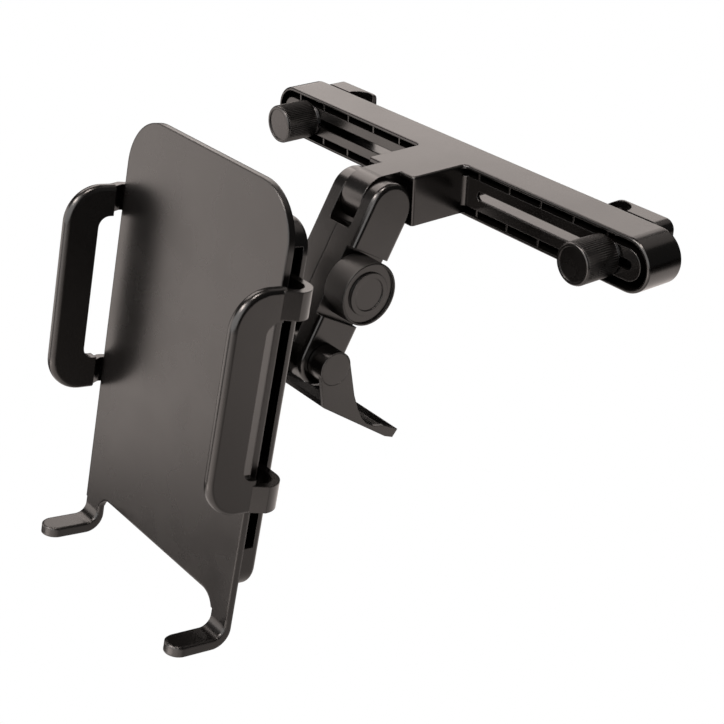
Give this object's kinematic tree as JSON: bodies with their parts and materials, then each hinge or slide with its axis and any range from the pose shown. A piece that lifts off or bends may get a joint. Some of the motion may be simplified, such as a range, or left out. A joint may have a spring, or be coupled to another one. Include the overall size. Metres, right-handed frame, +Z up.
{
  "type": "headrest tablet mount",
  "caption": "Black tablet holder with side grips and bent feet on a tilting arm, hung from a slotted T-shaped bar that clamps to the posts of a car headrest.",
  "frame": {"origin": "on the rear face of the cross bar, midway between the two headrest posts", "axes": "+X along the cross bar to its right as seen from the tablet side, +Y to the rear of the bar (towards the posts), +Z up"},
  "size_m": [0.246, 0.2059, 0.1863],
  "materials": {
    "black_plastic": "satin moulded",
    "knob_plastic": "satin moulded",
    "steel": "zinc plated",
    "brass": "plain",
    "acetal": "natural"
  },
  "bodies": {
    "bar": {"headrest_bar": "black_plastic"},
    "right_slide": {"right_slide_washer": "steel"},
    "right_knob": {"right_clamp_knob": "knob_plastic", "right_knob_insert": "brass"},
    "right_jaw": {"right_post_jaw": "black_plastic", "right_clamp_bolt": "steel"},
    "left_slide": {"left_slide_washer": "steel"},
    "left_knob": {"left_clamp_knob": "knob_plastic", "left_knob_insert": "brass"},
    "left_jaw": {"left_post_jaw": "black_plastic", "left_clamp_bolt": "steel"},
    "arm": {"arm_right_half": "black_plastic", "arm_left_half": "black_plastic", "upper_pivot_pin": "steel", "arm_nut": "steel", "lower_pivot_pin": "black_plastic", "lower_pivot_cap": "black_plastic"},
    "arm_knob": {"arm_knob": "knob_plastic", "arm_knob_screw": "steel"},
    "lever": {"lock_lever": "black_plastic"},
    "knuckle": {"knuckle": "black_plastic", "swivel_screw": "steel", "swivel_washer": "steel"},
    "holder": {"holder_housing": "black_plastic", "holder_front_plate": "black_plastic", "holder_screws": "steel"},
    "right_grip": {"right_side_grip": "black_plastic"},
    "left_grip": {"left_side_grip": "black_plastic"},
    "pinion": {"pinion": "acetal"}
  },
  "joints": [
    {"name": "right_clamp_slide", "type": "slide", "parent": "bar", "child": "right_slide", "axis": [1, 0, 0], "range_m": [-0.03, 0.006]},
    {"name": "right_knob_turn", "type": "hinge", "parent": "right_slide", "child": "right_knob", "pos_m": [0.0989, -0.03, 0], "axis": [0, 1, 0], "range_deg": [0, 3600]},
    {"name": "right_jaw_slide", "type": "slide", "parent": "right_slide", "child": "right_jaw", "axis": [0, 1, 0], "range_m": [0, 0.00701]},
    {"name": "left_clamp_slide", "type": "slide", "parent": "bar", "child": "left_slide", "axis": [-1, 0, 0], "range_m": [-0.03, 0.006]},
    {"name": "left_knob_turn", "type": "hinge", "parent": "left_slide", "child": "left_knob", "pos_m": [-0.0989, -0.03, 0], "axis": [0, 1, 0], "range_deg": [0, 3600]},
    {"name": "left_jaw_slide", "type": "slide", "parent": "left_slide", "child": "left_jaw", "axis": [0, 1, 0], "range_m": [0, 0.00701]},
    {"name": "arm_tilt", "type": "hinge", "parent": "bar", "child": "arm", "pos_m": [0, -0.0573, 0], "axis": [1, 0, 0], "range_deg": [-60, 14]},
    {"name": "arm_knob_turn", "type": "hinge", "parent": "arm", "child": "arm_knob", "pos_m": [0.02, -0.0758, -0.03204], "axis": [1, 0, 0], "range_deg": [-720, 0]},
    {"name": "lever_lift", "type": "hinge", "parent": "arm", "child": "lever", "pos_m": [0, -0.09305, -0.06192], "axis": [1, 0, 0], "range_deg": [0, 65]},
    {"name": "holder_tilt", "type": "hinge", "parent": "arm", "child": "knuckle", "pos_m": [0, -0.09305, -0.06192], "axis": [1, 0, 0], "range_deg": [-20, 20]},
    {"name": "holder_swivel", "type": "hinge", "parent": "knuckle", "child": "holder", "pos_m": [0, -0.13654, -0.05511], "axis": [0, -0.9827, 0.185], "range_deg": [-90, 90]},
    {"name": "right_grip_slide", "type": "slide", "parent": "holder", "child": "right_grip", "axis": [1, 0, 0], "range_m": [-0.0025, 0.015]},
    {"name": "left_grip_slide", "type": "slide", "parent": "holder", "child": "left_grip", "axis": [-1, 0, 0], "range_m": [-0.0026, 0.0151]},
    {"name": "pinion_turn", "type": "hinge", "parent": "holder", "child": "pinion", "pos_m": [0, -0.13941, -0.02709], "axis": [0, -0.9827, 0.185], "range_deg": [-96, 17]}
  ],
  "couplings": [
    {"joint": "right_jaw_slide", "follows": "right_knob_turn", "m_per_rad": 0.00011141},
    {"joint": "left_jaw_slide", "follows": "left_knob_turn", "m_per_rad": 0.00011141},
    {"joint": "left_grip_slide", "follows": "right_grip_slide", "ratio": 1},
    {"joint": "pinion_turn", "follows": "right_grip_slide", "rad_per_m": -111.11}
  ]
}
